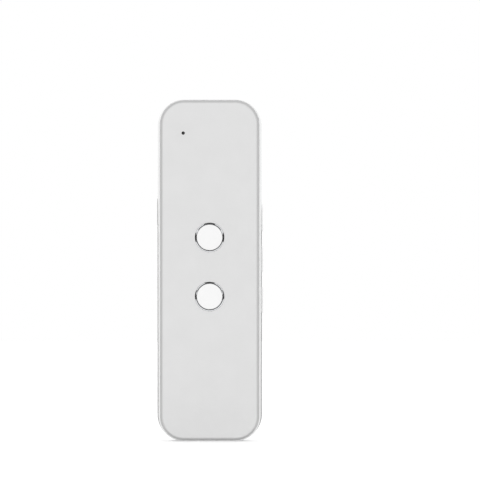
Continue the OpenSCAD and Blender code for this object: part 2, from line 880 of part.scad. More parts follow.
module mic_mesh() {
    color(mesh_black) facing(front) translate([-mic_x, mic_z, cover_back - mesh_t])
        cylinder(h = mesh_t, d = boot_d - mesh_inset);
}

// The socket's outline, narrower on the side away from the board; its walls move in by inset
function usb_outline(inset) =
    let (w = usb_w / 2 - inset, t = usb_t / 2 - inset, c = usb_chamfer - (2 - sqrt(2)) * inset)
        [[-w, -t], [w, -t], [w, t - c], [w - c, t], [c - w, t], [-w, t - c]];

module usb_shell() {
    color(tin) translate([0, usb_y, usb_front]) difference() {
        linear_extrude(usb_len) polygon(usb_outline(0));
        translate([0, 0, -1]) linear_extrude(usb_len - usb_back + 1) polygon(usb_outline(usb_sheet));
    }
}

// The socket's insert, with the tongue that carries the contacts
module usb_tongue() {
    color(chip_black) translate([0, usb_y, usb_front]) {
        translate([0, 0, insert_face]) linear_extrude(insert_t) polygon(usb_outline(usb_sheet));
        translate([-tongue_w / 2, tongue_level, tongue_from])
            cube([tongue_w, tongue_t, insert_face - tongue_from + bond]);
    }
}

// Five flat contacts on the tongue, from the insert to just inside the tongue's tip
module usb_contacts() {
    from = tongue_from + contact_inset;
    color(gold) translate([0, usb_y + tongue_level + tongue_t, usb_front + from])
        for (i = [0:contact_count - 1])
            translate([(i - (contact_count - 1) / 2) * contact_pitch - contact_w / 2, 0, 0])
                cube([contact_w, contact_t, insert_face - from]);
}

// The drawn can over the processor and the memory, open toward the board
module shield_can() {
    color(tin) facing(front) translate([0, can_z, 0]) difference() {
        chip(can.x, can.y, board_front, can.z);
        chip(can.x - 2 * can_wall, can.y - 2 * can_wall, board_front - 1, can.z + 1 - can_roof);
    }
}

module main_processor() {
    color(chip_black) facing(front) on_board([processor_x, can_z], processor);
}

module flash_memory() {
    color(chip_black) facing(front) on_board([memory_x, can_z], memory);
}

module audio_amplifier() {
    color(chip_black) facing(front) on_board(amplifier_place, amplifier);
}

module charge_controller() {
    color(chip_black) facing(front) on_board(charger_place, charger);
}

module bluetooth_antenna() {
    color("#e4e0d2") facing(front) on_board(antenna_place, antenna);
}

module clock_crystal() {
    color(tin) facing(front) on_board(crystal_place, crystal);
}

// A square base with the round core that its winding is on
module power_inductor() {
    color(copper) facing(front) {
        on_board(inductor_place, inductor);
        translate([inductor_place.x, inductor_place.y, board_front])
            cylinder(h = inductor_core_h, d = inductor_core_d);
    }
}

// Rows of small capacitors beside the chips, each row's long sides side by side
module board_capacitors() {
    color("#b9a284") facing(front) for (row = capacitor_rows, i = [0:row[2] - 1])
        on_board(
            row[0] + i * row[1],
            row[1].x > 0 ? capacitor : [capacitor.y, capacitor.x, capacitor.z]
        );
}

front_cover();
middle_frame();
rear_cover();
button_ring(upper_button_z);  // upper_button_ring
button_ring(lower_button_z);  // lower_button_ring
button_cap(upper_button_z);  // upper_button_cap
button_cap(lower_button_z);  // lower_button_cap
right_side_key(key_zs[0]);  // upper_side_key
right_side_key(key_zs[1]);  // middle_side_key
right_side_key(key_zs[2]);  // lower_side_key
left_side_key();
main_board();
board_screws();
switch_base(upper_button_z);  // upper_switch_base
switch_base(lower_button_z);  // lower_switch_base
switch_plunger(upper_button_z);  // upper_switch_plunger
switch_plunger(lower_button_z);  // lower_switch_plunger
side_switch(right, key_zs[0]);  // upper_side_switch
side_switch(right, key_zs[1]);  // middle_side_switch
side_switch(right, key_zs[2]);  // lower_side_switch
side_switch(left, left_key_z);  // left_side_switch
side_plunger(right, key_zs[0]);  // upper_side_plunger
side_plunger(right, key_zs[1]);  // middle_side_plunger
side_plunger(right, key_zs[2]);  // lower_side_plunger
side_plunger(left, left_key_z);  // left_side_plunger
battery_cell();
battery_tape();
battery_protection_board();
battery_leads();
battery_connector();
speaker_mesh();
speaker_gasket();
speaker_basket();
speaker_cone();
speaker_magnet();
speaker_leads();
microphone();
mic_boot();
mic_mesh();
usb_shell();
usb_tongue();
usb_contacts();
shield_can();
main_processor();
flash_memory();
audio_amplifier();
charge_controller();
bluetooth_antenna();
clock_crystal();
power_inductor();
board_capacitors();
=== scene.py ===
import json
import math

import bmesh
import bpy
import numpy as np
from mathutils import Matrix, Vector
from mathutils.geometry import tessellate_polygon


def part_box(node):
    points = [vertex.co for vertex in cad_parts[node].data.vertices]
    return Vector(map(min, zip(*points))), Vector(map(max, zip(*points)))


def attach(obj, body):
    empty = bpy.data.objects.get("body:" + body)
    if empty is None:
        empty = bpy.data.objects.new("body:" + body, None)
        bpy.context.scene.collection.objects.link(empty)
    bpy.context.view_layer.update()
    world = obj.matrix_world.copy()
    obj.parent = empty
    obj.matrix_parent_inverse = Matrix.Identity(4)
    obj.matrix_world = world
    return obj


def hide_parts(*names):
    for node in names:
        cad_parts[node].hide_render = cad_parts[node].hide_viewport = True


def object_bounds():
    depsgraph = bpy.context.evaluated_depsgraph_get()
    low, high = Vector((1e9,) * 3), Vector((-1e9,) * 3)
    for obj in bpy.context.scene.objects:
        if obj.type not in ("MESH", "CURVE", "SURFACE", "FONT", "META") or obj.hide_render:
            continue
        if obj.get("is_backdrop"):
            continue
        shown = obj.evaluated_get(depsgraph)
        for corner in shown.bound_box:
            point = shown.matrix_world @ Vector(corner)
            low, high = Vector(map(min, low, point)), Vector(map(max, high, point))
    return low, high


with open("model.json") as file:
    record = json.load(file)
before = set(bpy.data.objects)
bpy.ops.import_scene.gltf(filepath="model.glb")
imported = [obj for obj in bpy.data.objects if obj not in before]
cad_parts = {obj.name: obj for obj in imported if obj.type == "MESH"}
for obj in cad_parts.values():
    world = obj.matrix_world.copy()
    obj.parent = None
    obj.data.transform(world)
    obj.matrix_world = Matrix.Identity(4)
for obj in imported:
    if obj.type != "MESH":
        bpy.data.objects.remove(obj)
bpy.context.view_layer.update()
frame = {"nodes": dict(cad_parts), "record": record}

mm = 0.001
print("frame loaded:", len(frame["nodes"]), "nodes")

# Each side is drawn in its own view: across, up and out toward whoever looks at that side.
sideAxes = {
    "front": [(1, 0, 0), (0, 0, 1), (0, -1, 0)],
    "right": [(0, 1, 0), (0, 0, 1), (1, 0, 0)],
    "rear": [(-1, 0, 0), (0, 0, 1), (0, 1, 0)],
    "left": [(0, -1, 0), (0, 0, 1), (-1, 0, 0)],
    "bottom": [(1, 0, 0), (0, 1, 0), (0, 0, -1)],
}


# Points of an elliptical arc: centre + radii (cos, sin) from one angle to another, in degrees.
def arc(centre, radii, start, end, steps=8):
    angle = np.radians(np.linspace(start, end, steps + 1))
    return np.stack([centre[0] + radii[0] * np.cos(angle), centre[1] + radii[1] * np.sin(angle)], axis=-1)


# Rounded rectangles stacked by level: a point is its corner's centre plus the radius times the
# direction, and the corner's centre lies half the size less the radius away from the middle.
def roundedLoft(halfAcross, halfUp, radius, level, centre, cornerSteps):
    sizes = [np.atleast_1d(size) for size in (halfAcross, halfUp, radius, level)]
    halfAcross, halfUp, radius, level = np.broadcast_arrays(*sizes)
    quarter = np.linspace(0, np.pi / 2, cornerSteps + 1)
    angle = (quarter + np.arange(4)[:, None] * np.pi / 2).ravel()[:, None]
    rightOrLeft = np.repeat([1, -1, -1, 1], cornerSteps + 1)[:, None]
    topOrBottom = np.repeat([1, 1, -1, -1], cornerSteps + 1)[:, None]
    across = centre[0] + rightOrLeft * (halfAcross - radius) + radius * np.cos(angle)
    up = centre[1] + topOrBottom * (halfUp - radius) + radius * np.sin(angle)
    return np.stack([across, up, np.broadcast_to(level, across.shape)], axis=-1)


# A profile of radius and level turned about an axis: centre + radius (cos, sin), at its level.
def turned(profile, centre, steps=96):
    profile = np.asarray(profile, float)
    angle = np.arange(steps) * 2 * np.pi / steps
    across = centre[0] + np.outer(np.cos(angle), profile[:, 0])
    up = centre[1] + np.outer(np.sin(angle), profile[:, 0])
    return np.stack([across, up, np.broadcast_to(profile[:, 1], across.shape)], axis=-1)


# Quads between neighbouring points of a sheet that closes round; its sections may close too. Point
# j of section i has the number i times the section's length plus j.
def sheetQuads(around, along, closed):
    i, j = np.meshgrid(np.arange(around), np.arange(along if closed else along - 1), indexing="ij")
    nextI, nextJ = (i + 1) % around, (j + 1) % along
    quads = np.stack([i * along + j, nextI * along + j, nextI * along + nextJ, i * along + nextJ], axis=-1)
    return quads.reshape(-1, 4)


# Quads between neighbouring points of an open grid.
def gridQuads(rows, columns):
    index = np.arange(rows * columns).reshape(rows, columns)
    corners = [index[:-1, :-1], index[1:, :-1], index[1:, 1:], index[:-1, 1:]]
    return np.stack(corners, axis=-1).reshape(-1, 4)


# One closed mesh from sheets of points and flat fills, each an outer loop with loops of holes.
# Points that coincide become one, and the faces are turned outward.
def closedMesh(name, side, sheets, fills=(), closed=False, merge=1e-6):
    points, faces, count = [], [], 0
    for sheet in sheets:
        faces += (sheetQuads(*sheet.shape[:2], closed) + count).tolist()
        points.append(sheet.reshape(-1, 3))
        count += len(points[-1])
    for loops in fills:
        faces += (np.array(tessellate_polygon([loop.tolist() for loop in loops])) + count).tolist()
        points += loops
        count += sum(map(len, loops))
    mesh = bpy.data.meshes.new(name)
    mesh.from_pydata((np.vstack(points) @ np.array(sideAxes[side], float)).tolist(), [], faces)
    bm = bmesh.new()
    bm.from_mesh(mesh)
    bmesh.ops.remove_doubles(bm, verts=bm.verts, dist=merge)
    bmesh.ops.recalc_face_normals(bm, faces=bm.faces)
    bm.to_mesh(mesh)
    bm.free()
    return mesh


# Smooth shading that breaks where two faces meet at more than an angle in degrees.
def shadeSmooth(mesh, sharp=32):
    mesh.shade_smooth()
    mesh.set_sharp_from_angle(angle=math.radians(sharp))


# An object of its own that is in the scene.
def addObject(name, data):
    thing = bpy.data.objects.new(name, data)
    bpy.context.scene.collection.objects.link(thing)
    return thing


# A finished piece that rides on a body and stands for CAD nodes.
def pieceFrom(mesh, name, body, nodes, material):
    piece = addObject(name, mesh)
    mesh.materials.append(material)
    shadeSmooth(mesh)
    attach(piece, body)
    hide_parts(*nodes)
    return piece


# Takes a cutter's shape out of a piece for good.
def cutOut(piece, cutterMesh):
    cutter = addObject("cutter", cutterMesh)
    cut = piece.modifiers.new("cut", "BOOLEAN")
    cut.operation, cut.solver, cut.object = "DIFFERENCE", "EXACT", cutter
    bpy.context.view_layer.update()
    before = piece.data
    result = piece.evaluated_get(bpy.context.evaluated_depsgraph_get())
    piece.data = bpy.data.meshes.new_from_object(result)
    piece.modifiers.remove(cut)
    shadeSmooth(piece.data)
    bpy.data.objects.remove(cutter)
    bpy.data.meshes.remove(cutterMesh)
    bpy.data.meshes.remove(before)


# The middle of a CAD node's box.
def centreOf(node):
    low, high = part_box(node)
    return (low + high) / 2


# A colour as it is seen, turned into the linear values that shaders take.
def linear(colour):
    return tuple(c / 12.92 if c <= 0.04045 else ((c + 0.055) / 1.055) ** 2.4 for c in colour) + (1,)


# A colour with one level in all three channels.
def grey(level):
    return (level, level, level)


# A shader node with its inputs' values and its own settings.
def addNode(tree, kind, inputs={}, **settings):
    node = tree.nodes.new("ShaderNode" + kind)
    for name, value in settings.items():
        setattr(node, name, value)
    for name, value in inputs.items():
        node.inputs[name].default_value = value
    return node


# A material with its node tree and shader; sockets gives further values of the shader by name.
def newMaterial(name, colour, roughness, **sockets):
    material = bpy.data.materials.new(name)
    material.use_nodes = True
    tree = material.node_tree
    shader = tree.nodes["Principled BSDF"]
    shader.inputs["Base Color"].default_value = linear(colour)
    shader.inputs["Roughness"].default_value = roughness
    for socket, value in sockets.items():
        shader.inputs[socket.replace("_", " ")].default_value = value
    return material, tree, shader


# The piece's own coordinates in metres, stretched by scale.
def placeOn(tree, scale=(1, 1, 1)):
    place = addNode(tree, "TexCoord")
    stretch = addNode(tree, "Mapping", {"Scale": scale})
    tree.links.new(place.outputs["Object"], stretch.inputs["Vector"])
    return stretch.outputs["Vector"]


# Noise whose grains have a real size in metres.
def grain(tree, size, scale=(1, 1, 1), detail=3.0):
    noise = addNode(tree, "TexNoise", {"Scale": 1 / size, "Detail": detail})
    tree.links.new(placeOn(tree, scale), noise.inputs["Vector"])
    return noise.outputs["Fac"]


# Stripes a pitch apart that run across one direction, as a wave between 0 and 1. At a scale of one
# such a wave repeats every period, so its scale is the period over the pitch.
def stripes(tree, pitch, direction, period=0.314):
    wave = addNode(tree, "TexWave", {"Scale": period / pitch}, wave_type="BANDS", bands_direction=direction)
    tree.links.new(placeOn(tree), wave.inputs["Vector"])
    return wave.outputs["Fac"]


# Fits a pattern's middle range to lie between low and high.
def between(tree, value, low, high, start=0.3, end=0.7):
    fit = addNode(tree, "MapRange", {"From Min": start, "From Max": end, "To Min": low, "To Max": high})
    tree.links.new(value, fit.inputs["Value"])
    return fit.outputs["Result"]


# Two values worked into one, by product unless another operation is named.
def combine(tree, first, second, operation="MULTIPLY"):
    both = addNode(tree, "Math", operation=operation)
    tree.links.new(first, both.inputs[0])
    tree.links.new(second, both.inputs[1])
    return both.outputs[0]


# Colours the surface from a first colour where the value is 0 to a second where it is 1.
def paint(tree, shader, value, first, second):
    ramp = addNode(tree, "ValToRGB")
    ramp.color_ramp.elements[0].color = linear(first)
    ramp.color_ramp.elements[1].color = linear(second)
    tree.links.new(value, ramp.inputs["Fac"])
    tree.links.new(ramp.outputs["Color"], shader.inputs["Base Color"])
    return ramp.outputs["Color"]


# Lets a pattern move the roughness between low and high.
def roughen(tree, shader, value, low, high):
    tree.links.new(between(tree, value, low, high), shader.inputs["Roughness"])


# Raises a pattern's high places by a depth in metres, in the shading only.
def emboss(tree, shader, height, depth):
    bump = addNode(tree, "Bump", {"Distance": depth})
    tree.links.new(height, bump.inputs["Height"])
    tree.links.new(bump.outputs["Normal"], shader.inputs["Normal"])


# Paints shade into a colour: turns it toward another grey from one place along Y to another, in metres.
def paintShadeAlong(tree, shader, colour, start, end, shadeGrey):
    place = addNode(tree, "SeparateXYZ")
    tree.links.new(placeOn(tree), place.inputs["Vector"])
    mix = addNode(tree, "Mix", data_type="RGBA")
    tree.links.new(between(tree, place.outputs["Y"], 0, 1, start, end), mix.inputs["Factor"])
    tree.links.new(colour, mix.inputs["A"])
    mix.inputs["B"].default_value = linear(grey(shadeGrey))
    tree.links.new(mix.outputs["Result"], shader.inputs["Base Color"])


plastic = {
    "driftSize": 9 * mm,         # how far apart its paler and darker places are
    "darker": 0.006,
    "paler": 0.004,
    "glossSize": 4 * mm,
    "glossDrift": 0.03,
}


# Moulded plastic: a fine eroded grain, and a colour and a gloss that drift a little. An edge gives
# a painted shade: another grey and the places along Y between which the colour turns to it.
def mouldedPlastic(name, level, roughness, grainSize, depth, edge=None, **sockets):
    material, tree, shader = newMaterial(name, grey(level), roughness, **sockets)
    drift = between(tree, grain(tree, plastic["driftSize"]), 0, 1)
    ramp = paint(tree, shader, drift, grey(level - plastic["darker"]), grey(level + plastic["paler"]))
    # an edge paints shade: the slope turns to a darker grey
    if edge:
        paintShadeAlong(tree, shader, ramp, *edge)
    gloss = grain(tree, plastic["glossSize"])
    roughen(tree, shader, gloss, roughness - plastic["glossDrift"], roughness + plastic["glossDrift"])
    emboss(tree, shader, grain(tree, grainSize, detail=2), depth)
    return material


metal = {
    "lineSize": 0.12 * mm,
    "lineTone": 0.94,            # how dark the rolling lines are against the metal
    "smoother": 0.05,
    "rougher": 0.08,
}


# Sheet metal with fine rolling lines along one direction.
def rolledMetal(name, colour, roughness, along=(1, 1, 0.06), depth=0.0004 * mm):
    material, tree, shader = newMaterial(name, colour, roughness, Metallic=1.0)
    lines = grain(tree, metal["lineSize"], along)
    paint(tree, shader, between(tree, lines, 0, 1), [metal["lineTone"] * c for c in colour], colour)
    roughen(tree, shader, lines, roughness - metal["smoother"], roughness + metal["rougher"])
    emboss(tree, shader, lines, depth)
    return material


weave = {
    "pitch": 0.14 * mm,
    "roughness": 0.6,
    "gapTone": 0.35,             # how dark the gaps and how pale the threads are against the mesh's grey
    "threadTone": 1.3,
    "depth": 0.03 * mm,
}


# Threads that cross at a pitch, as on the mesh behind a sound hole: the product of two waves.
def wovenMesh(name, level):
    material, tree, shader = newMaterial(name, grey(level), weave["roughness"])
    threads = combine(tree, stripes(tree, weave["pitch"], "X"), stripes(tree, weave["pitch"], "Z"))
    paint(tree, shader, threads, grey(level * weave["gapTone"]), grey(level * weave["threadTone"]))
    emboss(tree, shader, threads, weave["depth"])
    return material


board = {
    "trackPitch": 2.4 * mm,
    "trackWidth": 0.03,          # as a part of the pitch
    "trackLength": 1.7,
    "trackHeight": 0.02 * mm,
    "coat": 0.4,
    "glossSize": 3 * mm,
    "gloss": (0.26, 0.36),
}


# Green mask over a grid of tracks, with the copper showing as paler lines.
def circuitBoard(name, mask, track):
    material, tree, shader = newMaterial(name, mask, board["gloss"][0], Coat_Weight=board["coat"])
    tracks = addNode(tree, "TexBrick", {
        "Scale": 1 / board["trackPitch"],
        "Mortar Size": board["trackWidth"],
        "Brick Width": board["trackLength"],
    })
    tracks.inputs["Color1"].default_value = linear(mask)
    tracks.inputs["Color2"].default_value = linear(mask)
    tracks.inputs["Mortar"].default_value = linear(track)
    turn = addNode(tree, "Mapping", {"Rotation": (math.pi / 2, 0, 0)})
    tree.links.new(placeOn(tree), turn.inputs["Vector"])
    tree.links.new(turn.outputs["Vector"], tracks.inputs["Vector"])
    tree.links.new(tracks.outputs["Color"], shader.inputs["Base Color"])
    emboss(tree, shader, tracks.outputs["Fac"], board["trackHeight"])
    roughen(tree, shader, grain(tree, board["glossSize"]), *board["gloss"])
    return material


# Two wires side by side: one colour left of the middle and one right of it, with a soft sheen.
def leadPair(name, first, second, roughness, grainSize, depth):
    material, tree, shader = newMaterial(name, first, roughness)
    sides = addNode(tree, "SeparateXYZ")
    tree.links.new(placeOn(tree), sides.inputs["Vector"])
    right = addNode(tree, "Math", operation="GREATER_THAN")
    right.inputs[1].default_value = 0
    tree.links.new(sides.outputs["X"], right.inputs[0])
    paint(tree, shader, right.outputs[0], first, second)
    emboss(tree, shader, grain(tree, grainSize), depth)
    return material


# A plain moulded or pressed stuff: its colour drifts between two shades over its own grain.
def speckled(name, dark, pale, roughness, size, depth, drift=0.05, **sockets):
    material, tree, shader = newMaterial(name, pale, roughness, **sockets)
    specks = grain(tree, size)
    paint(tree, shader, between(tree, specks, 0, 1), dark, pale)
    roughen(tree, shader, specks, roughness - drift, roughness + drift)
    emboss(tree, shader, specks, depth)
    return material


# Wire wound round a core: fine turns along the axis that looks out of the board.
def woundWire(name, dark, pale, roughness, pitch, depth):
    material, tree, shader = newMaterial(name, pale, roughness, Metallic=0.8)
    turns = stripes(tree, pitch, "Y")
    paint(tree, shader, turns, dark, pale)
    emboss(tree, shader, turns, depth)
    return material


# Each plastic has its grey, its roughness, and its grain's size and depth. The front cover's slope
# is painted darker than its face, as painted shade along its edge.
frontSatin = mouldedPlastic(
    "frontSatin", 0.886, 0.42, 0.16 * mm, 0.0012 * mm, edge=(-6.0 * mm, -5.7 * mm, 0.76)
)
keySatin = mouldedPlastic("keySatin", 0.77, 0.36, 0.2 * mm, 0.001 * mm)
rearSatin = mouldedPlastic("rearSatin", 0.875, 0.42, 0.16 * mm, 0.0012 * mm)
frameGloss = mouldedPlastic(
    "frameGloss", 0.965, 0.14, 0.5 * mm, 0.0005 * mm, Coat_Weight=0.4, Coat_Roughness=0.04
)
buttonGloss = mouldedPlastic(
    "buttonGloss", 0.975, 0.12, 0.6 * mm, 0.0004 * mm, Coat_Weight=0.25, Coat_Roughness=0.03
)
ringChrome = rolledMetal("ringChrome", (0.9, 0.905, 0.915), 0.06, (1, 1, 1), 0.00015 * mm)
microphoneMesh = wovenMesh("microphoneMesh", 0.44)      # darker than the speaker's
finishes = {
    "steel": rolledMetal("steelSheet", (0.74, 0.74, 0.73), 0.3),
    "gold_contact": rolledMetal("goldContact", (0.86, 0.7, 0.36), 0.22),
    "dark_mesh": wovenMesh("darkMesh", 0.66),
    "solder_mask": circuitBoard("solderMask", (0.13, 0.38, 0.22), (0.22, 0.52, 0.3)),
    "chip_black": speckled("chipEpoxy", grey(0.13), grey(0.19), 0.55, 0.12 * mm, 0.004 * mm),
    "pouch_foil": speckled("pouchFoil", grey(0.68), grey(0.78), 0.34, 2.2 * mm, 0.05 * mm, Metallic=0.9),
    "foam_tape": speckled("foamTape", (0.86, 0.85, 0.8), (0.95, 0.94, 0.9), 0.85, 0.2 * mm, 0.05 * mm),
    "dark_rubber": speckled("softRubber", grey(0.2), grey(0.26), 0.7, 0.3 * mm, 0.01 * mm),
    "speaker_paper": speckled("coneFilm", grey(0.13), grey(0.2), 0.5, 0.4 * mm, 0.02 * mm),
    "ceramic": speckled("ceramicBody", (0.74, 0.69, 0.58), (0.86, 0.82, 0.73), 0.4, 0.15 * mm, 0.005 * mm),
    "copper": woundWire("woundCopper", (0.42, 0.22, 0.12), (0.8, 0.5, 0.3), 0.3, 0.12 * mm, 0.04 * mm),
    "lead_sheath": leadPair("leadSheath", (0.1, 0.1, 0.11), (0.68, 0.14, 0.12), 0.42, 0.5 * mm, 0.01 * mm),
}
slots = {entry["node"]: entry["material_slot"] for entry in frame["record"]["subparts"]}
for node, obj in frame["nodes"].items():
    if slots[node] in finishes:
        obj.data.materials.clear()
        obj.data.materials.append(microphoneMesh if node == "mic_mesh" else finishes[slots[node]])
print("materials")

coverLow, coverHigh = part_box("front_cover")
frameLow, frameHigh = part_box("middle_frame")
faceLevel = -coverLow[1]                    # how far each face stands from the middle plane
rimLevel = frameHigh[1]                     # where the covers meet the frame
middleHeight = (frameLow[2] + frameHigh[2]) / 2

cover = {
    "cornerRadius": 9.8 * mm,
    "thickness": 1.5 * mm,
    "frontEdge": 1.4 * mm,       # width of the sloping edge round the front face
    "frontSlope": 48,            # its slope where it meets the frame, in degrees
    "frontFoot": 0.1 * mm,       # the low upright foot under the slope
    "rearEdge": 0.4 * mm,        # radius of the edge round the rear face
    "rimFillet": 0.06 * mm,
    "lipInset": 1.1 * mm,        # from the outline in to the lip
    "lipWall": 0.9 * mm,
    "lipTip": 3.7 * mm,
    "lipChamfer": 0.1 * mm,
    "flatBorder": 0.15 * mm,     # keeps the face's shading flat up to its rounded edge
    "slopePoints": (0.5, 0.9),   # where the flat slope has points on its way down to the foot
    "cornerSteps": 24,
}
coverHalf = (coverHigh[0] - coverLow[0]) / 2
coverHalfHeight = (coverHigh[2] - coverLow[2]) / 2
insideLevel = faceLevel - cover["thickness"]


# The front cover's edge as distance from the outline and level: a flat slope that a round blends
# into the face. The round's radius follows from the edge's width, its slope and its drop.
def slopingEdge():
    width, slope = cover["frontEdge"], math.radians(cover["frontSlope"])
    drop = faceLevel - rimLevel - cover["frontFoot"]
    radius = (width * math.tan(slope) - drop) / (1 / math.cos(slope) - 1)
    centre = (-width, faceLevel - radius)
    blend = arc(centre, (radius, radius), 90, 90 - cover["frontSlope"], steps=14)
    foot = np.array([[0, rimLevel + cover["frontFoot"]]])
    slopePoints = blend[-1] + np.outer(cover["slopePoints"], foot[0] - blend[-1])
    return np.vstack([blend, slopePoints, foot])


# The rear cover's edge: a small quarter round.
def roundEdge():
    radius = cover["rearEdge"]
    return arc((-radius, faceLevel - radius), (radius, radius), 90, 0, steps=10)


# A cover's section as distance from its outline and level: the border of the face, the edge, a
# fillet at the rim, the seat, the lip and back to the inner face.
def coverSection(edge):
    border = edge[:1] - [[cover["flatBorder"], 0]]
    rounding = cover["rimFillet"]
    fillet = arc((-rounding, rimLevel + rounding), (rounding, rounding), 0, -90, steps=4)
    outer, chamfer, tip = -cover["lipInset"], cover["lipChamfer"], cover["lipTip"]
    inner = outer - cover["lipWall"]
    lip = [
        [outer, rimLevel], [outer, tip + chamfer], [outer - chamfer, tip], [inner, tip],
        [inner, insideLevel], [inner - chamfer, insideLevel],
    ]
    return np.vstack([border, edge, fillet, lip])


# The wall of a hole through a cover, from a soft rim at the face to the inside; a step makes it
# narrower below its depth. A narrow flat ring round each end keeps the shading of the faces flat.
def holeWall(radius, fillet, narrow=None, step=0, flat=0.08 * mm):
    rim = arc((radius + fillet, faceLevel - fillet), (-fillet, fillet), 90, 0, steps=3)
    bottom = narrow or radius
    stepDown = [[[radius, faceLevel - step], [narrow, faceLevel - step]]] if narrow else []
    return np.vstack([
        [[radius + fillet + flat, faceLevel]], rim, *stepDown,
        [[bottom, insideLevel], [bottom + flat, insideLevel]],
    ])


# A cover: its section carried round the outline, with a turned wall for each hole. A hole gives its
# place, its wall and how many steps it has round.
def coverMesh(name, side, edge, holes):
    distance, level = coverSection(edge).T
    shell = roundedLoft(
        coverHalf + distance, coverHalfHeight + distance, cover["cornerRadius"] + distance, level,
        (0, middleHeight), cover["cornerSteps"],
    )
    walls = [turned(wall, place, steps) for place, wall, steps in holes]
    sheets = [shell, *walls]
    fills = [[sheet[:, end] for sheet in sheets] for end in (0, -1)]
    return closedMesh(name, side, sheets, fills)


microphoneHole = {"diameter": 1.36 * mm, "fillet": 0.08 * mm, "steps": 40}
ring = {
    "width": 0.55 * mm,
    "proud": 0.25 * mm,          # how far the ring stands above the face
    "outerSlope": 22,            # how steep its top falls to the cover and to the cap, in degrees
    "innerSlope": 38,
    "ridge": 0.06 * mm,          # radius of the ridge between the slopes
    "ridgeIn": 0.33 * mm,        # from the ring's outside in to the ridge
    "seat": 0.5 * mm,            # how deep it lies in the cover
    "sleeve": 0.3 * mm,          # how much thinner its sleeve is than its top
    "fit": 0.05 * mm,
    "holeFillet": 0.06 * mm,
    "steps": 128,
    "holeSteps": 96,
}
ringLow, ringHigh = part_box("upper_button_ring")
ringOuter = (ringHigh[0] - ringLow[0]) / 2
ringInner = ringOuter - ring["width"]
buttonHeights = {"upper": centreOf("upper_button_ring")[2], "lower": centreOf("lower_button_ring")[2]}
microphone = centreOf("mic_mesh")

ringHole = holeWall(
    ringOuter + ring["fit"], ring["holeFillet"], ringInner + ring["sleeve"] + ring["fit"], ring["seat"]
)
frontHoles = [((0, height), ringHole, ring["holeSteps"]) for height in buttonHeights.values()]
microphoneWall = holeWall(microphoneHole["diameter"] / 2, microphoneHole["fillet"])
frontHoles.append(((microphone[0], microphone[2]), microphoneWall, microphoneHole["steps"]))
pieceFrom(
    coverMesh("front_cover_shell", "front", slopingEdge(), frontHoles), "front_cover_shell", "housing",
    ["front_cover"], frontSatin
)
print("front cover")

grille = {
    "holeDiameter": 1.5 * mm,
    "fillet": 0.1 * mm,
    # distance from the centre line, how many holes, and their pitch
    "columns": [(1.6 * mm, 6, 3.74 * mm), (4.42 * mm, 5, 3.13 * mm), (7.49 * mm, 3, 3.13 * mm)],
    "steps": 32,
}
grilleHeight = centreOf("speaker_mesh")[2]
grilleWall = holeWall(grille["holeDiameter"] / 2, grille["fillet"])
rearHoles = [
    ((side * across, grilleHeight + (k - (count - 1) / 2) * pitch), grilleWall, grille["steps"])
    for across, count, pitch in grille["columns"] for side in (-1, 1) for k in range(count)
]
pieceFrom(
    coverMesh("rear_cover_shell", "rear", roundEdge(), rearHoles), "rear_cover_shell", "housing",
    ["rear_cover"], rearSatin
)
print("rear cover")

band = {
    "wideRadius": 10.9 * mm,     # corner radius where the frame is widest
    "endBulge": 0.25 * mm,       # how far the ends stand out beyond the covers' seats
    "endRise": 2,                # how soon the ends reach their flat middle
    "land": 0.15 * mm,           # outside each groove
    "grooveWidth": 0.2 * mm,
    "grooveDepth": 0.3 * mm,
    "wall": 1.2 * mm,
    "landFillet": 0.04 * mm,
    "rings": 36,
    "slotGap": 0.18 * mm,        # round each side key
    "slotDepth": 4 * mm,
    "slotChamfer": 0.18 * mm,
    "slotSteps": 12,
}
bandHalf = (frameHigh[0] - frameLow[0]) / 2
bandHalfHeight = (frameHigh[2] - frameLow[2]) / 2


# The frame's sections as half width, half height, corner radius and level. Outside, the width and
# the radius swell by half an ellipse from rim to rim and the height soon stays flat; then come a
# groove and a seat at each rim, and the inner wall between them.
def bandMesh():
    seatHalf = coverHalf + band["grooveWidth"]
    seatHalfHeight = bandHalfHeight - band["endBulge"]
    seatRadius = cover["cornerRadius"] + band["grooveWidth"]
    turn = np.linspace(0, np.pi, band["rings"] + 1)
    swell = np.sin(turn)
    endSwell = np.minimum(1, band["endRise"] * swell)
    halfWidth = seatHalf + band["land"] + (bandHalf - seatHalf - band["land"]) * swell
    halfHeight = seatHalfHeight + band["land"] + (band["endBulge"] - band["land"]) * endSwell
    radius = seatRadius + (band["wideRadius"] - seatRadius) * swell
    outside = np.stack([halfWidth, halfHeight, radius, -rimLevel * np.cos(turn)], axis=-1)
    outside[[0, -1], :3] -= band["landFillet"]

    floor = rimLevel - band["grooveDepth"]
    inset = np.array([0, 0, band["grooveWidth"], band["grooveWidth"], band["wall"]])
    level = np.array([rimLevel, floor, floor, rimLevel, rimLevel])
    inside = np.stack([seatHalf - inset, seatHalfHeight - inset, seatRadius - inset, level], axis=-1)
    otherSide = inside[::-1] * (1, 1, 1, -1)
    sections = np.vstack([outside, inside, otherSide])
    shell = roundedLoft(*sections.T, (0, middleHeight), cover["cornerSteps"])
    return closedMesh("middle_frame_band", "rear", [shell], closed=True)


# A cutter for a slot: a rounded rectangle that runs straight to just under the surface and then
# flares out, so that it leaves a chamfer.
def slotCutter(side, centre, half, radius, depth, surface, chamfer):
    grow = np.array([0, 0, 2 * chamfer])
    level = np.array([surface - depth, surface - chamfer, surface + chamfer])
    tube = roundedLoft(half[0] + grow, half[1] + grow, radius + grow, level, centre, band["slotSteps"])
    return closedMesh("cutter", side, [tube], [[tube[:, 0]], [tube[:, -1]]])


middleFrame = pieceFrom(
    bandMesh(), "middle_frame_band", "housing", ["middle_frame"], frameGloss
)

